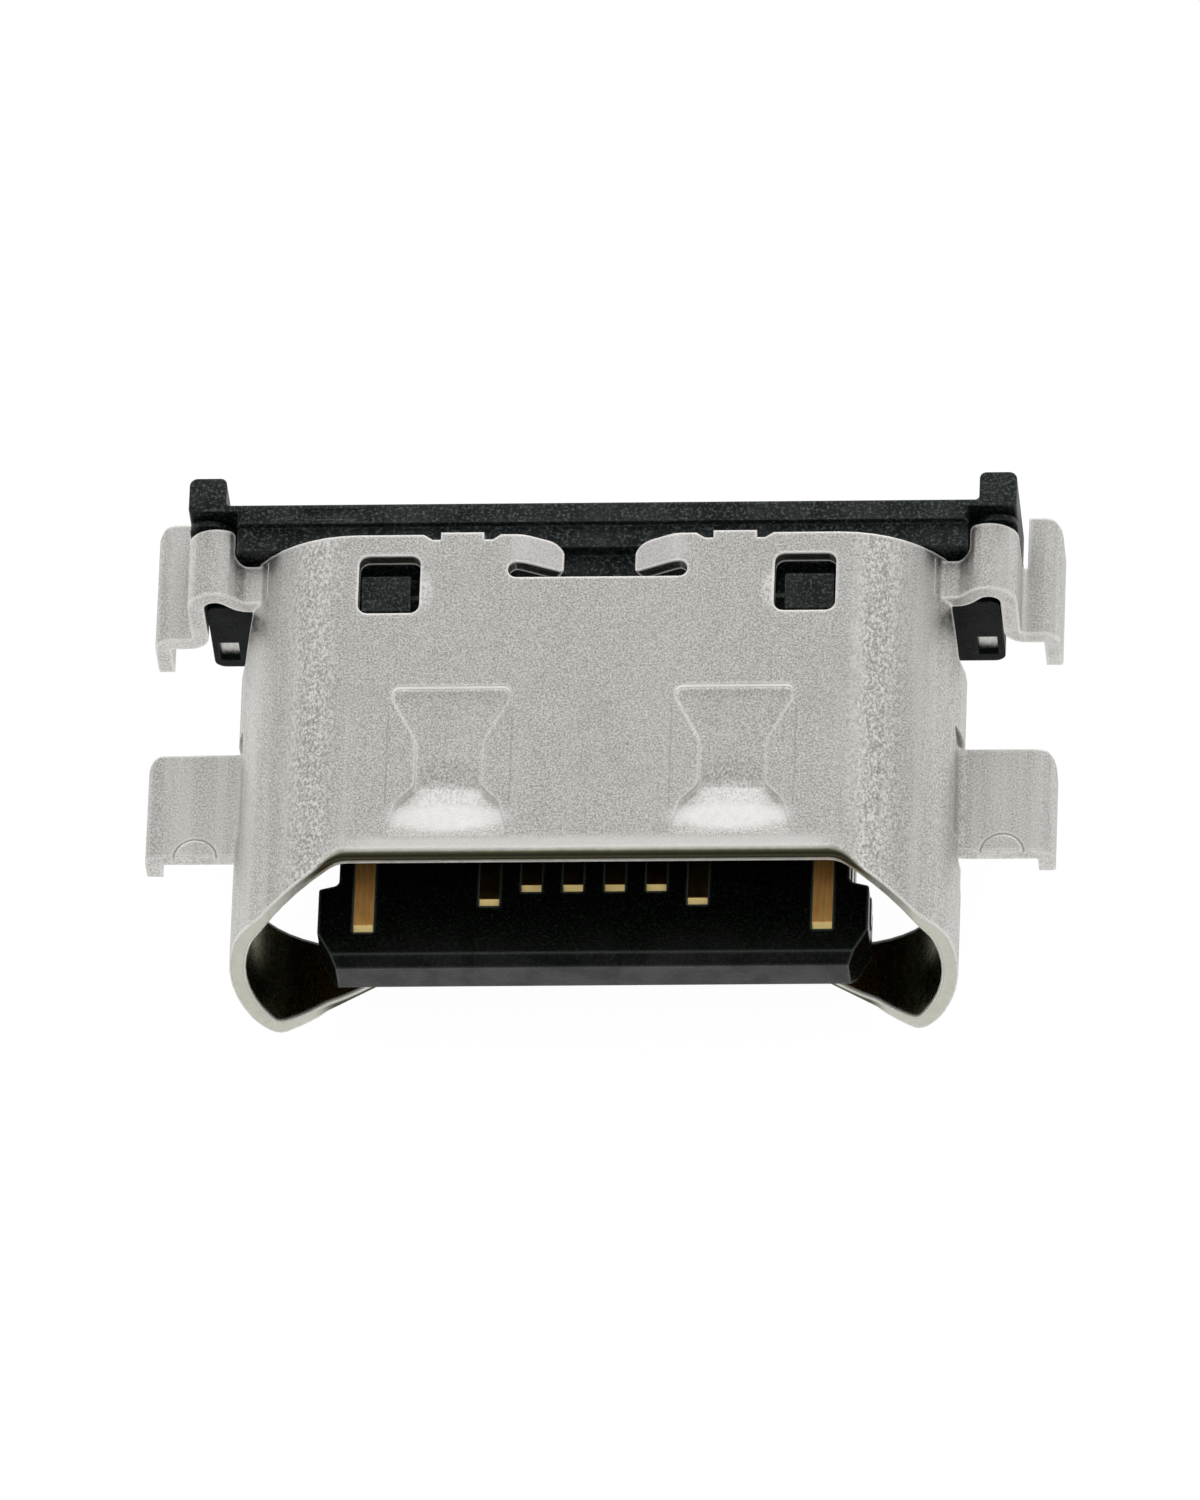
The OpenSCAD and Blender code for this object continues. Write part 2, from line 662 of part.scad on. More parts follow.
// Slot in the side wall that the leg was bent out of, and that the ear passes
module neck_slot() {
    along_x(flat_x + 0.5, FAR) polygon(rounded([
        [slot_y, -ear_drop - slip, cut_round], [FAR, -ear_drop - slip, 0],
        [FAR, neck_under, 0], [leg_y - 0.05, neck_under, 0.05], [slot_y, neck_z - 0.37, cut_round]
    ]));
}

// Butt seam of the rolled sheet with one dovetail, in the bottom wall
module seam() {
    y0 = seam_key_y;
    y1 = y0 + seam_key_l;
    reach = seam_key_w;
    flare = seam_flare;
    w = seam_w;
    along_z(-FAR, 0) {
        translate([-w / 2, 0]) square([w, y0]);
        translate([-w / 2, y1]) square([w, FAR]);
        difference() {
            polygon([
                [-w / 2, y0 - w], [0, y0 - w], [reach + w, y0 - flare - w],
                [reach + w, y1 + flare + w], [0, y1 + w], [-w / 2, y1 + w]
            ]);
            polygon([
                [-1, y0], [0, y0], [reach, y0 - flare],
                [reach, y1 + flare], [0, y1], [-1, y1]
            ]);
        }
    }
}

module stub() {
    box([stub_x, shell_l - EPS, mouth_r], [stub_x + stub_w, shell_l + stub_l, shell_r]);
}

module shell() {
    color("#c9c5bf") difference() {
        union() {
            difference() {
                shell_tube();
                top_cuts();
                both_sides() {
                    lance_window();
                    neck_slot();
                }
            }
            both_sides() {
                arm();
                stub();
                front_foot();
                rear_leg();
                both_rows() translate([dimple_x, 0, 0]) dimple(mouth_r);
            }
        }
        both_sides() both_rows() translate([dimple_x, 0, 0]) dimple(shell_r);
        seam();
    }
}

// ---- Contacts -------------------------------------------------------------

// Blade on the face of the tongue, with its bevelled tip
module blade(tip, x) {
    z = tongue_t / 2;
    along_x(x - blade_w / 2, x + blade_w / 2) polygon([
        [tip, z - contact_t], [jog_y + EPS, z - contact_t], [jog_y + EPS, z],
        [tip + tip_run, z], [tip, z - tip_drop]
    ]);
}

// Sideways step between the blade and the tail, inside the root of the tongue
module jog(x, tail_x) {
    z = tongue_t / 2;
    along_z(z - contact_t, z) polygon([
        [x - blade_w / 2, jog_y], [x + blade_w / 2, jog_y],
        [tail_x + tail_w / 2, jog_end], [tail_x + tail_w / 2, jog_end + EPS],
        [tail_x - tail_w / 2, jog_end + EPS], [tail_x - tail_w / 2, jog_end]
    ]);
}

// Rear stretch: back, over to the height of the board, and out as a tail.
// The row is 1 for an upper contact and -1 for a lower one, drawn upside down.
module tail(x, row) {
    z = tongue_t / 2 - contact_t / 2;
    fall = z - row * tail_mid;
    turn = row > 0 ? 90 : 45;
    ahead = row > 0 ? upper_riser : lower_riser;
    slope = (fall - 2 * riser_r * (1 - cos(turn))) / sin(turn);
    out = tail_y - jog_end - ahead - 2 * riser_r * sin(turn) - slope * cos(turn);
    along_x(x - tail_w / 2, x + tail_w / 2) polygon(strip(
        walk([jog_end, z], 0, [[ahead, -turn, riser_r], [slope, turn, riser_r], [out, 0, 0]]), contact_t
    ));
}

// One contact: its place in the row counts from the left
module contact(place, row) {
    x = PLACES[place] * pitch;
    tail_x = (row > 0 ? TOP_TAILS : BOTTOM_TAILS)[place] * pitch;
    color("#d8ab4e") mirror([0, 0, row > 0 ? 0 : 1]) {
        blade(TIPS[place], x);
        jog(x, tail_x);
        tail(tail_x, row);
    }
}

// Room for a blade in the face of the tongue, open above its bevelled tip
module blade_slot(place) {
    x = PLACES[place] * pitch;
    box([x - blade_w / 2, TIPS[place], tongue_t / 2 - contact_t], [x + blade_w / 2, root_y, tongue_t]);
}

module all_contacts() {
    for (i = [0 : len(PLACES) - 1]) {
        contact(i, 1);
        contact(i, -1);
    }
}

// ---- Plates ---------------------------------------------------------------

// Tongue or middle plate seen from above: pointed front corners and side notches
function tongue_outline(grow, front, back) =
    let (w = tongue_w / 2 + grow, n = tongue_w / 2 - notch_d + grow, e = notch_y + notch_l)
    let (half = [
        [w - corner_w, front, 0], [w, front + corner_l, 0], [w, notch_y, 0.04],
        [n, notch_y + 0.06, 0.08], [n, e, 0.08], [w, e + notch_d, 0.04], [w, back, 0]
    ])
    rounded(concat(half, [for (i = [len(half) - 1 : -1 : 0]) [-half[i].x, half[i].y, half[i][2]]]));

// Plate in the middle of the tongue, with a wing into each ear and a tab down its end
module mid_plate() {
    inside = 0.1;
    color("#bdb9b2") {
        along_z(-mid_t / 2, mid_t / 2) {
            polygon(tongue_outline(plate_proud, tongue_y + plate_in, root_y - inside));
            translate([-ground_w / 2, root_y - 2 * inside])
                square([ground_w, wing_y + wing_l - root_y + 2 * inside]);
            translate([-wing_x, wing_y]) square([2 * wing_x, wing_l]);
        }
        both_sides() box([wing_x - wing_tab_w, wing_y, -wing_drop], [wing_x, wing_y + mid_t, 0]);
    }
}

// Ground plate laid on the thick root of the tongue, with a lip down its front
module ground_plate() {
    r = (ground_t + contact_t) / 2;
    color("#bdb9b2") along_x(-ground_w / 2, ground_w / 2) polygon(strip(
        walk([root_y - ground_t / 2, root_z - ground_lip], 90, [
            [ground_lip - r, -90, r],
            [root_out + ground_in, 0, 0]
        ]), ground_t
    ));
}

module upper_ground_plate() {
    translate([0, 0, ground_t / 2]) ground_plate();
}

module lower_ground_plate() {
    mirror([0, 0, 1]) upper_ground_plate();
}

// ---- Tongue ---------------------------------------------------------------

// Tongue seen from the side: bevels above and below its tip
module tongue_profile() {
    z = tongue_t / 2;
    polygon([
        [tongue_y, z - tip_bevel], [tongue_y + tip_bevel, z], [root_y + EPS, z],
        [root_y + EPS, -z], [tongue_y + tip_bevel, -z], [tongue_y, tip_bevel - z]
    ]);
}

module tongue_body() {
    intersection() {
        along_x(-FAR, FAR) tongue_profile();
        along_z(-FAR, FAR) polygon(tongue_outline(0, tongue_y, root_y + 1));
    }
    box([-root_x, root_y, -root_z], [root_x, root_l, root_z]);
}

module tongue() {
    color("#1d1f21") difference() {
        tongue_body();
        for (i = [0 : len(PLACES) - 1]) both_rows() blade_slot(i);
        all_contacts();
        mid_plate();
        upper_ground_plate();
        lower_ground_plate();
    }
}

// ---- Housing --------------------------------------------------------------

// Cross-section of the rear of the housing, up to a width and a height
function rear_outline(x, z) = rounded([
    [-x, -ear_drop, 0.08], [-belly_x - 0.6, -ear_drop, 0.1], [-belly_x, -body_r, 0.2],
    [belly_x, -body_r, 0.2], [belly_x + 0.6, -ear_drop, 0.1], [x, -ear_drop, 0.08],
    [x, z, 0.1], [-x, z, 0.1]
]);

// Arch of an ear behind the leg's hump, which has the same form
function arch_outline(z) = rounded([
    [flat_x + 1, -ear_drop, 0], [ear_out, -ear_drop, 0.08], [ear_out, z, 0.17],
    [neck_x + 0.22, z, 0.2], [neck_x - 0.05, z - 0.28, 0.1], [flat_x + 1, z - 0.28, 0]
]);

// Ear: a block under the leg, three arches behind it, and a raised end
module ear() {
    rib_y = leg_end + arch_step;
    groove_y = rib_y + arch_step;
    end_y = groove_y + arch_step;
    along_y(ear_front, leg_end + slip) polygon(rounded([
        [flat_x + 0.7, -ear_drop, 0], [ear_inside, -ear_drop, 0.14],
        [ear_inside, neck_under - slip, 0.12], [flat_x + 0.7, neck_under - slip, 0]
    ]));
    along_y(leg_end + slip, rib_y + EPS) polygon(arch_outline(top_z - 0.36));
    along_y(rib_y, groove_y + EPS) polygon(arch_outline(top_z - 0.14));
    along_y(groove_y, end_y + EPS) polygon(arch_outline(top_z - 0.3));
    along_z(board_z, top_z) polygon(rounded([
        [neck_x - 0.2, end_y, 0], [ear_out, end_y, 0.03], [ear_out, ear_l, 0.1],
        [ear_x, ear_l, 0.08], [ear_x, housing_l, 0.05], [neck_x - 0.2, housing_l, 0]
    ]));
}

// Window in the front face of an ear, which shows the tab of the middle plate
module tab_window() {
    box([wing_x - wing_tab_w, leg_y, -wing_drop], [wing_x, wing_y, -wing_top]);
}

// Bump that holds the shell at a latch window, with a slope toward the front
module latch() {
    rise_y = window_y + 0.14;
    end_y = window_y + 0.57;
    along_x(window_x - window_w / 2 + 0.12, window_x + window_w / 2 - 0.03) polygon([
        [rise_y, pocket_z - EPS], [rise_y, body_r + 0.04], [end_y - 0.12, body_r + 0.12],
        [end_y, body_r + 0.12], [end_y, pocket_z - EPS]
    ]);
}

module latch_pocket() {
    half = window_w / 2;
    box([window_x - half, base_y + 0.06, pocket_z], [window_x + half, window_y + window_l, FAR]);
}

// Shallow pad that the mould left in the top of the flange
module flange_pad() {
    y = flange_y + arch_step;
    box([-belly_x - 0.3, y, top_z - pad_d], [pad_w - belly_x - 0.3, y + pad_l, FAR]);
}

module housing_body() {
    back = shell_l + slip;
    difference() {
        union() {
            along_y(base_y, back + EPS) stadium(body_r);
            along_y(back, flange_y + EPS) polygon(rear_outline(neck_x - slip, recess_z));
            along_y(flange_y, housing_l) polygon(rear_outline(neck_x - slip, top_z));
            both_sides() ear();
        }
        both_sides() {
            latch_pocket();
            tab_window();
        }
        flange_pad();
        box([-cutout_x - slip, cutout_y, pocket_z], [cutout_x + slip, back + slip, FAR]);
    }
    both_sides() latch();
}

module housing() {
    color("#26292b") difference() {
        housing_body();
        box([-root_x, 0, -root_z], [root_x, root_l, root_z]);
        all_contacts();
        mid_plate();
        upper_ground_plate();
        lower_ground_plate();
    }
}

// ---- Parts ----------------------------------------------------------------

shell();
housing();
tongue();
mid_plate();
upper_ground_plate();
lower_ground_plate();
for (i = [0 : len(TOP) - 1]) {
    contact(i, 1);
    contact(i, -1);
}
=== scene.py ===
"""Looks of a mid-mount USB Type-C socket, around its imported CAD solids. Lengths are in metres."""

import math
from functools import reduce
from types import SimpleNamespace

import bpy
from mathutils import Matrix, Vector

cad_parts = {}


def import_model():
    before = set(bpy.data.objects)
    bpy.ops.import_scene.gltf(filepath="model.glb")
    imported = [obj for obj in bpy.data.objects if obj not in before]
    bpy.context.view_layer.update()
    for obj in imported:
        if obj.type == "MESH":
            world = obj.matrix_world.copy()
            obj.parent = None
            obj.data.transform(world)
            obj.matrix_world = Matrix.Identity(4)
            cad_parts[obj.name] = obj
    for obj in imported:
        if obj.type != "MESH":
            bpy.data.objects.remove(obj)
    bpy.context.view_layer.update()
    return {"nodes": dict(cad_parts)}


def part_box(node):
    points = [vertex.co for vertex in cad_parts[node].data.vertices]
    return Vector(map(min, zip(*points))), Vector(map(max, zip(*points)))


MM = 0.001

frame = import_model()
nodes = frame["nodes"]


# ---- Node helpers ----------------------------------------------------------


class Tree:
    """Short calls for building a material's nodes."""

    def __init__(self, name):
        self.material = bpy.data.materials.new(name)
        self.material.use_nodes = True
        self.nodes = self.material.node_tree.nodes
        self.links = self.material.node_tree.links
        self.shader = self.nodes["Principled BSDF"]
        self.place = self.nodes.new("ShaderNodeTexCoord").outputs["Object"]

    def node(self, kind, inputs=(), **settings):
        """Adds a node; inputs is a list of (socket, value or socket to link)."""
        made = self.nodes.new(kind)
        for name, value in settings.items():
            setattr(made, name, value)
        for socket, value in inputs:
            target = made.inputs[socket]
            if isinstance(value, bpy.types.NodeSocket):
                self.links.new(value, target)
            else:
                target.default_value = value
        return made

    def scaled(self, scale):
        """Object coordinates in millimetres, stretched along each axis."""
        stretch = [s / MM for s in scale]
        made = self.node("ShaderNodeMapping", [("Vector", self.place), ("Scale", stretch)])
        return made.outputs["Vector"]

    def noise(self, scale, size, detail, rough):
        """Noise from 0 to 1, with a stretch per axis and a size per millimetre."""
        made = self.node(
            "ShaderNodeTexNoise",
            [("Vector", self.scaled(scale)), ("Scale", size), ("Detail", detail), ("Roughness", rough)],
        )
        return made.outputs["Fac"]

    def ramp(self, value, low, high, out_low=0.0, out_high=1.0):
        """Smooth step of a value from low to high; low may be the larger of the two."""
        made = self.node(
            "ShaderNodeMapRange",
            [(0, value), (1, low), (2, high), (3, out_low), (4, out_high)],
            interpolation_type="SMOOTHSTEP",
        )
        return made.outputs[0]

    def math(self, operation, a, b=0.0):
        return self.node("ShaderNodeMath", [(0, a), (1, b)], operation=operation).outputs[0]

    def above(self, value, level):
        return self.math("GREATER_THAN", value, level)

    def below(self, value, level):
        return self.math("LESS_THAN", value, level)

    def both(self, *masks):
        """Product of masks: 1 where all of them are 1."""
        return reduce(lambda a, b: self.math("MULTIPLY", a, b), masks)

    def either(self, *masks):
        """Largest of the masks: 1 where any of them is 1."""
        return reduce(lambda a, b: self.math("MAXIMUM", a, b), masks)

    def but(self, mask, share=1.0):
        """1 outside a mask, and less by this share inside it."""
        return self.math("SUBTRACT", 1.0, self.math("MULTIPLY", mask, share))

    def mix(self, factor, a, b):
        made = self.node("ShaderNodeMix", data_type="RGBA")
        for socket, value in ((made.inputs[0], factor), (made.inputs[6], a), (made.inputs[7], b)):
            if isinstance(value, bpy.types.NodeSocket):
                self.links.new(value, socket)
            else:
                socket.default_value = value
        return made.outputs[2]

    def bump(self, height, strength, depth, normal=None):
        inputs = [("Height", height), ("Strength", strength), ("Distance", depth)]
        if normal is not None:
            inputs.append(("Normal", normal))
        return self.node("ShaderNodeBump", inputs).outputs["Normal"]

    def rounded(self, radius):
        """Normal with the edges rounded off."""
        return self.node("ShaderNodeBevel", [("Radius", radius)], samples=4).outputs["Normal"]

    def edges(self, radius):
        """1 along the edges of a piece and 0 on its faces; highlights are painted along it."""
        face = self.node("ShaderNodeNewGeometry").outputs["Normal"]
        pair = [(0, face), (1, self.rounded(radius))]
        likeness = self.node("ShaderNodeVectorMath", pair, operation="DOT_PRODUCT")
        return self.ramp(likeness.outputs["Value"], 0.99, 0.85)

    def axis(self, name):
        return self.node("ShaderNodeSeparateXYZ", [(0, self.place)]).outputs[name]

    def off_middle(self, name):
        """Distance from the middle plane across an axis."""
        return self.math("ABSOLUTE", self.axis(name))

    def finish(self, **values):
        """Sets or links the shader's inputs, and gives the material."""
        for name, value in values.items():
            socket = self.shader.inputs[name.replace("_", " ")]
            if isinstance(value, bpy.types.NodeSocket):
                self.links.new(value, socket)
            else:
                socket.default_value = value
        return self.material


def rgb(r, g, b):
    return (r, g, b, 1.0)


# ---- Materials -------------------------------------------------------------


FLAT_X = 2.89 * MM              # where the shell's flat walls turn into its round sides
INNER_R, OUTER_R = 1.28 * MM, 1.48 * MM
LIP_Y = 1.12 * MM               # just behind the front edge of the lips
ARM_Y = 4.95 * MM               # just before the arms of the rear cut-out
ARM_X = 1.15 * MM               # just outside the bends of the arms
DIMPLE_X = 1.7 * MM             # middle of a ground dimple
DIMPLE_BACK = 3.4 * MM          # just behind the dimples
WINDOW_X, WINDOW_Y = 2.08 * MM, 4.62 * MM       # beside the inner side of a latch window
TONGUE_FACE = 0.345 * MM        # just under the tongue's faces and the contacts on them
# colour of the painted highlights, and of the glow of the painted edge highlights
PAINTED_HIGHLIGHT = rgb(1.0, 0.985, 0.95)


def spot(t, x, y, half_x, half_y):
    """Soft spot on both sides of the middle: 1 at its centre and 0 past its half sizes."""
    across = t.math("DIVIDE", t.math("SUBTRACT", t.off_middle("X"), x), half_x)
    along = t.math("DIVIDE", t.math("SUBTRACT", t.axis("Y"), y), half_y)
    return t.ramp(t.math("ADD", t.both(across, across), t.both(along, along)), 1.0, 0.15)


def shell_places(t):
    """Masks that say where on the shell a point lies, by its position alone."""
    across, along = t.off_middle("X"), t.axis("Y")
    over = t.math("MAXIMUM", t.math("SUBTRACT", across, FLAT_X), 0.0)
    height = t.axis("Z")
    radius = t.math("SQRT", t.math("ADD", t.both(over, over), t.both(height, height)))
    arms = t.both(t.above(along, ARM_Y), t.below(across, ARM_X))
    front = t.below(along, LIP_Y)
    back = t.both(t.above(along, 4.2 * MM), t.above(across, 1.95 * MM))
    side = t.ramp(over, 0.0, 0.05 * MM)
    in_sheet = t.both(
        t.ramp(radius, INNER_R + 0.01 * MM, INNER_R + 0.03 * MM),
        t.ramp(radius, OUTER_R - 0.01 * MM, OUTER_R - 0.03 * MM),
    )
    dimple = t.both(t.above(along, LIP_Y), t.below(along, DIMPLE_BACK))
    wall_highlight = t.both(
        dimple, t.but(side), t.above(along, 2.0 * MM),
        t.above(radius, OUTER_R - 0.064 * MM), t.below(radius, OUTER_R - 0.006 * MM),
    )
    # painted shade: a dark band on the cut face just under the rolled edge of the lips
    line = t.both(
        front, t.ramp(over, 0.6 * MM, 0.3 * MM),
        t.ramp(radius, 1.33 * MM, 1.36 * MM), t.ramp(radius, 1.465 * MM, 1.44 * MM),
    )
    cut = t.both(in_sheet, t.either(front, back))
    outline = t.either(t.ramp(radius, 1.44 * MM, 1.46 * MM), t.ramp(radius, 1.32 * MM, 1.30 * MM))
    return SimpleNamespace(
        across=across, along=along, side=side, dimple=dimple, cut=cut, line=line,
        # the face that is turned to the mouth and the tongue, darkened with painted shade
        inside=t.both(t.ramp(radius, INNER_R + 0.012 * MM, INNER_R + 0.004 * MM), t.but(arms)),
        # the bends beside the flat walls
        bent=t.both(t.ramp(across, 3.0 * MM, 3.3 * MM), t.ramp(across, 3.85 * MM, 3.45 * MM)),
        # the walls of the dimples, with a painted highlight that is brightest at their rear
        wall_highlight=t.both(wall_highlight, t.ramp(along, 2.9 * MM, 2.98 * MM, 0.45, 1.0)),
        # painted shade lines along the outer and inner border of the cheeks' cut faces
        outline=t.both(cut, side, outline),
    )


def sheet_shade(t, at, fine, coarse):
    """Colour of the grained sheet, with its flecks, stains and tool marks, streaks that are partly
    painted sheen, and painted highlights on the dimple fronts, beside the windows, on the lip rolls and
    on the arms.
    """
    bands = t.noise((2.2, 0.1, 2.2), 1.6, 3, 0.55)
    stains = t.ramp(t.noise((1, 1, 1), 1.1, 3, 0.6), 0.5, 0.75)
    # lighter streaks along the sheet, strongest on the round sides: partly grain, partly painted sheen of
    # the curved sides
    streaks_and_sheen = t.both(t.ramp(bands, 0.4, 0.65), t.math("ADD", t.math("MULTIPLY", at.side, 0.35), 0.1))
    flecks = t.both(t.ramp(coarse, 0.51, 0.62), at.bent)
    pits = t.both(t.ramp(coarse, 0.47, 0.34), at.bent)
    stretched = t.both(spot(t, DIMPLE_X, 2.05 * MM, 0.5 * MM, 0.32 * MM), t.ramp(coarse, 0.52, 0.4))
    # painted highlights: the lit front slope of each dimple and a spot beside each latch window
    painted_highlights = t.either(
        spot(t, DIMPLE_X, 1.49 * MM, 0.9 * MM, 0.27 * MM),
        t.both(spot(t, DIMPLE_X, 1.7 * MM, 0.6 * MM, 0.36 * MM), t.ramp(coarse, 0.35, 0.6, 0.35, 0.9)),
        t.both(spot(t, WINDOW_X, WINDOW_Y, 0.13 * MM, 0.3 * MM), t.ramp(coarse, 0.35, 0.6)),
    )

    # Faint line of the stamping punch beside each dimple
    from_dimple = t.math("ABSOLUTE", t.math("SUBTRACT", at.across, DIMPLE_X))
    from_line = t.math("ABSOLUTE", t.math("SUBTRACT", from_dimple, 0.745 * MM))
    punch = t.both(
        t.ramp(from_line, 0.016 * MM, 0.006 * MM),
        t.ramp(at.along, 1.5 * MM, 1.7 * MM), t.below(at.along, 3.0 * MM),
    )
    # painted highlights on the rolled front edge of the lips and on the arms of the rear cut-out
    lip_highlight = t.both(t.ramp(at.along, 1.27 * MM, 1.13 * MM), t.ramp(at.across, 3.3 * MM, 2.5 * MM))
    arm_highlight = t.both(t.ramp(at.along, 5.0 * MM, 5.1 * MM), t.ramp(at.across, 1.2 * MM, 0.9 * MM))

    shade = t.mix(t.ramp(fine, 0.28, 0.72), rgb(0.40, 0.385, 0.36), rgb(0.93, 0.91, 0.87))
    for mask, share, colour in (
        (stains, 0.2, rgb(0.5, 0.47, 0.38)),
        (streaks_and_sheen, 1.0, rgb(0.88, 0.87, 0.84)),
        (flecks, 0.9, rgb(1.0, 0.98, 0.94)),
        (pits, 0.6, rgb(0.34, 0.32, 0.29)),
        (stretched, 0.7, rgb(0.36, 0.34, 0.31)),
        (painted_highlights, 0.9, rgb(1.0, 0.97, 0.965)),
        (punch, 0.35, rgb(0.36, 0.34, 0.31)),
        (lip_highlight, 0.8, PAINTED_HIGHLIGHT),
        (arm_highlight, 0.4, rgb(1.0, 0.985, 0.97)),
    ):
        shade = t.mix(t.math("MULTIPLY", mask, share), shade, colour)
    return shade


def shell_steel():
    """Stamped stainless sheet: satin and grained, flecked where it was bent, with glowing painted
    highlights at its edges and painted shade under the lip rolls, on the cut faces' borders and inside.
    """
    t = Tree("shell_steel")
    at = shell_places(t)
    fine = t.noise((1, 1, 1), 42, 2, 0.7)
    grain = t.noise((1, 0.8, 1), 14, 2, 0.6)
    coarse = t.noise((1.3, 0.8, 1.3), 24, 2, 0.6)
    # painted highlights along the edges and on the dimples' walls: white, barely metallic and glowing,
    # left out of the painted shade band under the lips
    rim_highlight = t.both(t.edges(0.07 * MM), t.math("SUBTRACT", 0.8, t.math("MULTIPLY", at.dimple, 0.35)))
    edges = t.both(t.either(rim_highlight, at.wall_highlight), t.but(at.line))

    # Cut faces are olive grey, with a painted shade band below the rolled edge of the lips and painted
    # shade lines along the cheeks' cut faces; then painted highlights on the edges, and painted shade on
    # the inner face
    shade = sheet_shade(t, at, fine, coarse)
    shade = t.mix(t.math("MULTIPLY", at.cut, 0.8), shade, rgb(0.68, 0.67, 0.575))
    shade = t.mix(at.line, shade, rgb(0.07, 0.066, 0.038))
    shade = t.mix(t.math("MULTIPLY", at.outline, 0.75), shade, rgb(0.26, 0.25, 0.18))
    shade = t.mix(edges, shade, PAINTED_HIGHLIGHT)
    shade = t.mix(at.inside, shade, rgb(0.11, 0.11, 0.055))

    rough = t.math("SUBTRACT", t.ramp(grain, 0.25, 0.75, 0.34, 0.48), t.math("MULTIPLY", at.inside, 0.16))
    height = t.math("ADD", fine, t.math("MULTIPLY", grain, 0.4))
    height = t.math("ADD", height, t.math("MULTIPLY", t.both(coarse, at.bent), 4.0))
    # the painted edge highlights glow
    t.finish(Emission_Color=PAINTED_HIGHLIGHT, Emission_Strength=t.math("MULTIPLY", edges, 0.38))
    return t.finish(
        Base_Color=shade,
        Metallic=t.but(edges, 0.9),
        Roughness=rough,
        Normal=t.bump(height, 0.5, 0.004 * MM, t.rounded(0.03 * MM)),
    )


def plastic(name, dark, light, rough, bumps, shine, edge_highlight):
    """Black glass-filled plastic with a fine speckle, cloudy mould marks and painted glints, with painted
    highlights on its edges and painted shade under the legs.

    rough is its lowest and highest roughness, bumps and shine set the speckle and
    the gloss, and the last argument sets how light the painted highlights on its edges are."""
    t = Tree(name)
    speck = t.noise((1, 1, 1), 26, 3, 0.75)
    cloud = t.noise((1, 0.6, 1), 2.2, 3, 0.6)
    glints = t.ramp(t.noise((1, 1, 1), 24, 2, 0.5), 0.58, 0.72)
    # painted shade on the housing under the legs, which also loses most of its gloss there
    painted_shade_under_leg = t.both(t.ramp(t.off_middle("X"), 4.0 * MM, 4.3 * MM), t.below(t.axis("Y"), 5.1 * MM))
    in_mouth = t.both(t.above(t.off_middle("Z"), TONGUE_FACE), t.below(t.axis("Y"), 4.3 * MM))

    shade = t.mix(t.ramp(speck, 0.5, 0.72), dark, light)
    # painted glints, painted shade under the legs and painted highlights on the edges go into the colour
    for mask, share, colour in (
        (t.ramp(cloud, 0.45, 0.75), 0.6, dark),
        (glints, 0.6, light),
        (painted_shade_under_leg, 0.8, dark),
        (t.edges(0.06 * MM), edge_highlight, rgb(0.16, 0.19, 0.17)),
    ):
        shade = t.mix(t.math("MULTIPLY", mask, share), shade, colour)

    gloss = t.both(t.but(painted_shade_under_leg, 0.8), t.but(in_mouth, 0.75), t.ramp(cloud, 0.3, 0.7, 0.6, 1.3))
    mottle = t.math("ADD", speck, t.math("MULTIPLY", cloud, 0.6))
    return t.finish(
        Base_Color=shade,
        Roughness=t.ramp(mottle, 0.5, 1.2, *rough),
        Normal=t.bump(speck, bumps, 0.006 * MM, t.rounded(0.025 * MM)),
        Specular_IOR_Level=t.math("MULTIPLY", gloss, shine),
    )


def contact_gold():
    """Gold plating over formed strip, with painted highlights on the tips and painted shade on the blades
    under the middle of the shell.
    """
    t = Tree("contact_gold")
    lines = t.noise((6, 0.5, 1), 7, 3, 0.6)
    spots = t.noise((1, 1, 1), 10, 3, 0.6)
    face = t.above(t.off_middle("Z"), TONGUE_FACE + 0.001 * MM)
    # painted highlight on the bevelled tips, and painted shade on the blades' faces, deeper towards the
    # middle
    tip_highlight = t.both(t.below(t.off_middle("Z"), TONGUE_FACE), t.below(t.axis("Y"), 1.2 * MM))
    blade_shade = t.both(face, t.ramp(t.off_middle("X"), 1.2 * MM, 2.7 * MM, 0.95, 0.0))
    lit = t.either(t.math("SUBTRACT", face, t.math("MULTIPLY", blade_shade, 1.15)), tip_highlight)

    shade = t.mix(t.ramp(lines, 0.3, 0.7), rgb(0.95, 0.42, 0.10), rgb(1.0, 0.60, 0.20))
    shade = t.mix(blade_shade, shade, rgb(0.035, 0.026, 0.012))
    shade = t.mix(t.math("MULTIPLY", tip_highlight, 0.8), shade, rgb(1.0, 0.84, 0.36))
    return t.finish(
        Base_Color=shade,
        Metallic=t.but(lit, 0.5),
        Roughness=t.ramp(spots, 0.3, 0.7, 0.38, 0.56),
        Normal=t.bump(lines, 0.3, 0.002 * MM, t.rounded(0.01 * MM)),
    )


def plate_steel():
    """Thin punched steel of the inner plates."""
    t = Tree("plate_steel")
    grain = t.noise((3, 0.6, 1), 8, 4, 0.6)
    return t.finish(
        Base_Color=t.mix(t.ramp(grain, 0.3, 0.7), rgb(0.62, 0.60, 0.57), rgb(0.88, 0.86, 0.82)),
        Metallic=1.0,
        Roughness=t.ramp(grain, 0.3, 0.7, 0.3, 0.45),
        Normal=t.bump(grain, 0.3, 0.003 * MM, t.rounded(0.015 * MM)),
    )


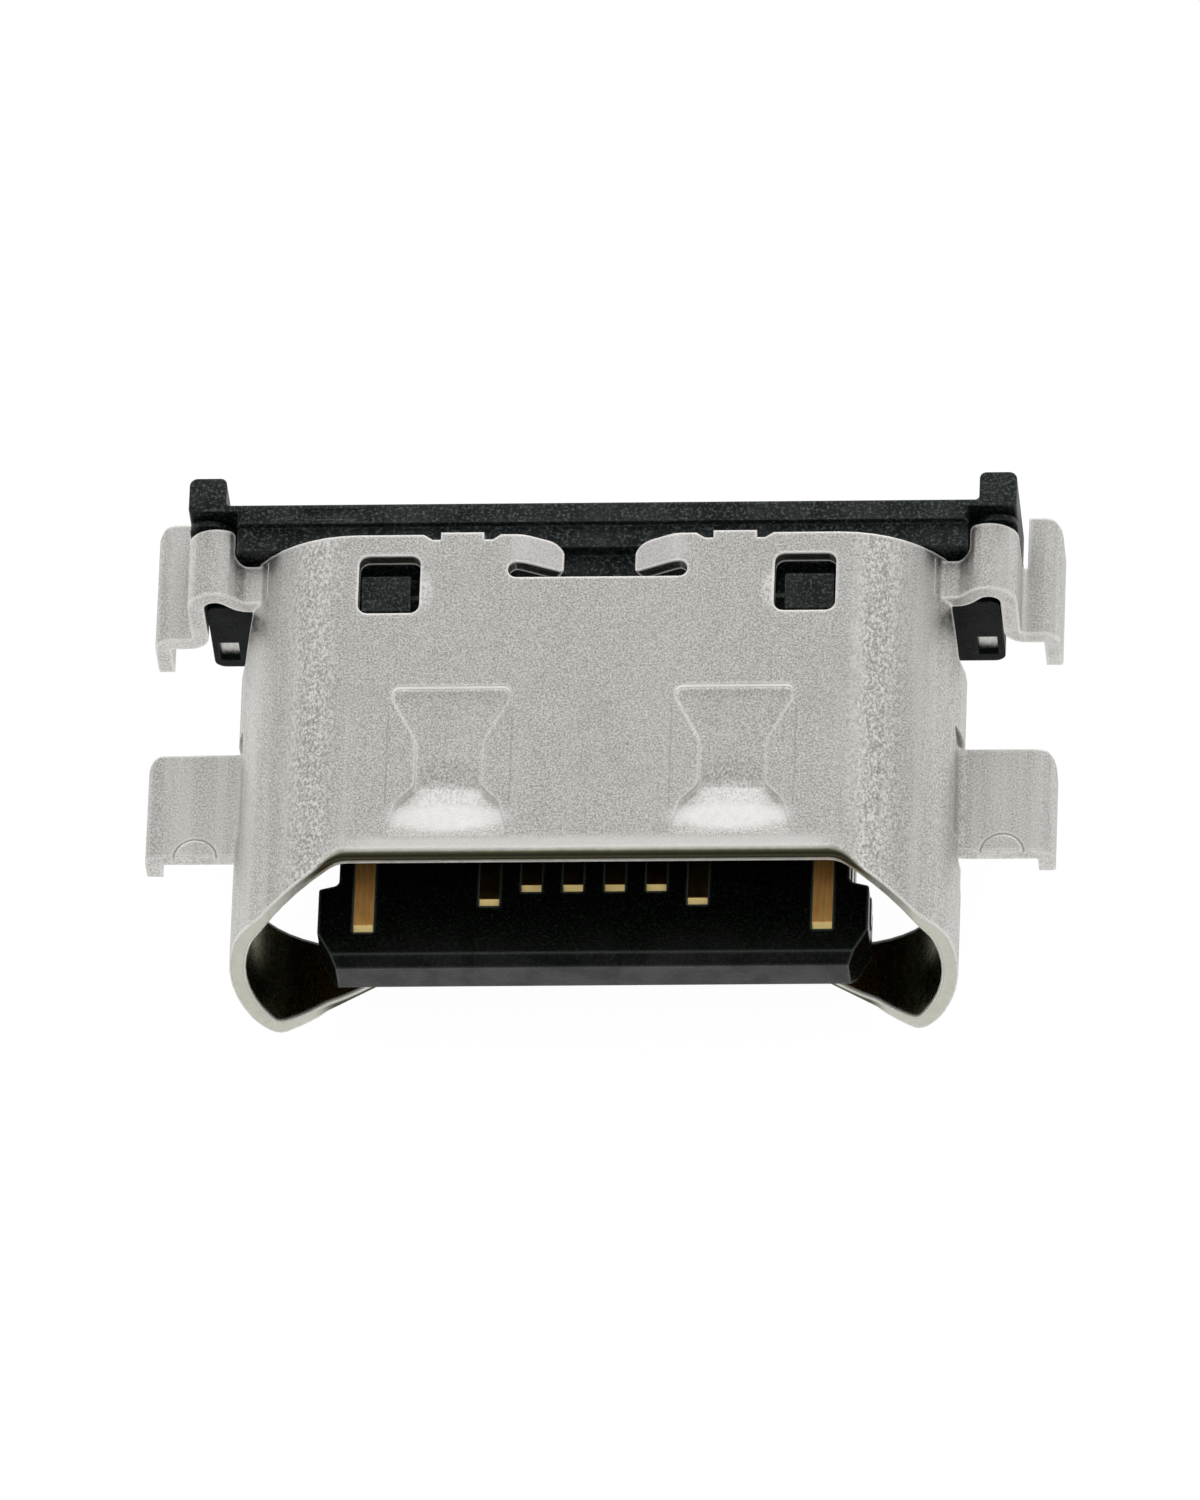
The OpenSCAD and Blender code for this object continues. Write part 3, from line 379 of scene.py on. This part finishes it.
LOOKS = {
    "shell": shell_steel(),
    "housing": plastic(
        "insulator", dark=rgb(0.001, 0.003, 0.002), light=rgb(0.130, 0.165, 0.165),
        rough=(0.34, 0.5), bumps=1.0, shine=0.34, edge_highlight=0.15,
    ),
    "tongue": plastic(
        "tongue_plastic", dark=rgb(0.001, 0.002, 0.001), light=rgb(0.014, 0.020, 0.014),
        rough=(0.2, 0.34), bumps=0.8, shine=0.45, edge_highlight=0.8,
    ),
    "contact": contact_gold(),
    "plate": plate_steel(),
}


def look_of(name):
    if name.startswith("contact_"):
        return LOOKS["contact"]
    if name.endswith("_plate"):
        return LOOKS["plate"]
    return LOOKS[name]


for name, node in nodes.items():
    node.data.materials.clear()
    node.data.materials.append(look_of(name))


# ---- Floor, light and camera -----------------------------------------------


FLOOR_GLOW = 0.9            # how far the floor is washed out
FLOOR_SEEN = 1.08           # brightness of the floor as the camera sees it
FLOOR_MIRRORED = 0.85       # brightness of the floor where the object mirrors it
SKY_BACK, SKY_FRONT = 0.58, 0.16
SKY_LOW = 2.0               # what is added low behind the object
AIM = Vector((0, 3.2 * MM, 0))      # what the lights look at


def link_object(name, data):
    made = bpy.data.objects.new(name, data)
    bpy.context.collection.objects.link(made)
    return made


def floor():
    """Wide pale floor just under the shell, nearly washed out to the white around it."""
    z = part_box("shell")[0].z - 0.001 * MM
    half = 1.5
    mesh = bpy.data.meshes.new("floor")
    corners = [(-half, -half, z), (half, -half, z), (half, half, z), (-half, half, z)]
    mesh.from_pydata(corners, [], [(0, 1, 2, 3)])
    made = link_object("floor", mesh)
    t = Tree("floor")
    path = t.node("ShaderNodeLightPath")
    mirrored = t.math("MULTIPLY", path.outputs["Is Glossy Ray"], FLOOR_MIRRORED)
    strength = t.math("ADD", t.math("MULTIPLY", path.outputs["Is Camera Ray"], FLOOR_SEEN), mirrored)
    glow = t.node("ShaderNodeEmission", [("Color", rgb(1, 1, 1)), ("Strength", strength)]).outputs[0]
    share = t.math("MULTIPLY", t.math("GREATER_THAN", strength, 0.01), FLOOR_GLOW)
    t.finish(Base_Color=rgb(0.8, 0.8, 0.8), Roughness=0.9, Specular_IOR_Level=0.0)
    mixed = t.node("ShaderNodeMixShader", [(0, share), (1, t.shader.outputs[0]), (2, glow)])
    t.links.new(mixed.outputs[0], t.nodes["Material Output"].inputs["Surface"])
    mesh.materials.append(t.material)


def world():
    """White behind the object; its light is a soft sky, darker in front and brightest low behind."""
    made = bpy.data.worlds.new("studio")
    bpy.context.scene.world = made
    made.use_nodes = True
    nodes, links = made.node_tree.nodes, made.node_tree.links
    place = nodes.new("ShaderNodeTexCoord")
    split = nodes.new("ShaderNodeSeparateXYZ")
    links.new(place.outputs["Generated"], split.inputs[0])
    total = nodes.new("ShaderNodeMath")
    ranges = ((-0.9, 0.1, SKY_FRONT, SKY_BACK), (0.72, 0.95, 0.0, SKY_LOW))
    for index, values in enumerate(ranges):
        level = nodes.new("ShaderNodeMapRange")
        level.interpolation_type = "SMOOTHSTEP"
        for socket, value in enumerate(values, start=1):
            level.inputs[socket].default_value = value
        links.new(split.outputs["Y"], level.inputs[0])
        links.new(level.outputs[0], total.inputs[index])
    sky, white, both = (nodes.new(kind) for kind in (
        "ShaderNodeBackground", "ShaderNodeBackground", "ShaderNodeMixShader"))
    sky.inputs["Color"].default_value = rgb(1, 1, 1)
    links.new(total.outputs[0], sky.inputs["Strength"])
    white.inputs["Color"].default_value = rgb(1, 1, 1)
    path = nodes.new("ShaderNodeLightPath")
    links.new(path.outputs["Is Camera Ray"], both.inputs[0])
    links.new(sky.outputs[0], both.inputs[1])
    links.new(white.outputs[0], both.inputs[2])
    links.new(both.outputs[0], nodes["World Output"].inputs["Surface"])


def area_light(name, azimuth, elevation, distance, size, power):
    """Soft light that looks at the object from a direction in degrees."""
    data = bpy.data.lights.new(name, "AREA")
    data.shape = "RECTANGLE"
    data.size, data.size_y = size
    data.energy = power
    made = link_object(name, data)
    a, e = math.radians(azimuth), math.radians(elevation)
    back = Vector((math.sin(a) * math.cos(e), -math.cos(a) * math.cos(e), math.sin(e)))
    made.location = AIM + back * distance
    made.rotation_mode = "QUATERNION"
    made.rotation_quaternion = back.to_track_quat("Z", "Y")


def lights():
    area_light("overhead", 0, 70, 0.09, (0.06, 0.035), 0.0085)
    area_light("left", -70, 40, 0.09, (0.05, 0.05), 0.0012)
    area_light("right", 75, 40, 0.09, (0.05, 0.05), 0.0010)


def camera():
    """From above the mouth and slightly to the right, a little rolled, and far away."""
    azimuth, elevation, roll = (math.radians(x) for x in (8.85, 59.26, -8.07))
    distance = 0.3445
    back = Vector((
        math.sin(azimuth) * math.cos(elevation),
        -math.cos(azimuth) * math.cos(elevation),
        math.sin(elevation),
    ))
    right = Vector((0, 0, 1)).cross(back).normalized()
    up = back.cross(right)
    right, up = (
        right * math.cos(roll) + up * math.sin(roll),
        up * math.cos(roll) - right * math.sin(roll),
    )
    data = bpy.data.cameras.new("camera")
    data.lens, data.sensor_width = 688.656, 36
    data.clip_start, data.clip_end = 0.01, 10
    made = link_object("camera", data)
    target = Vector((0, 3.23 * MM, 0)) - right * (0.0215 * MM) + up * (0.0226 * MM)
    made.rotation_mode = "QUATERNION"
    made.rotation_quaternion = Matrix((right, up, back)).transposed().to_quaternion()
    made.location = target + back * distance
    bpy.context.scene.camera = made


floor()
world()
lights()
camera()
bpy.context.scene.view_settings.view_transform = "Standard"
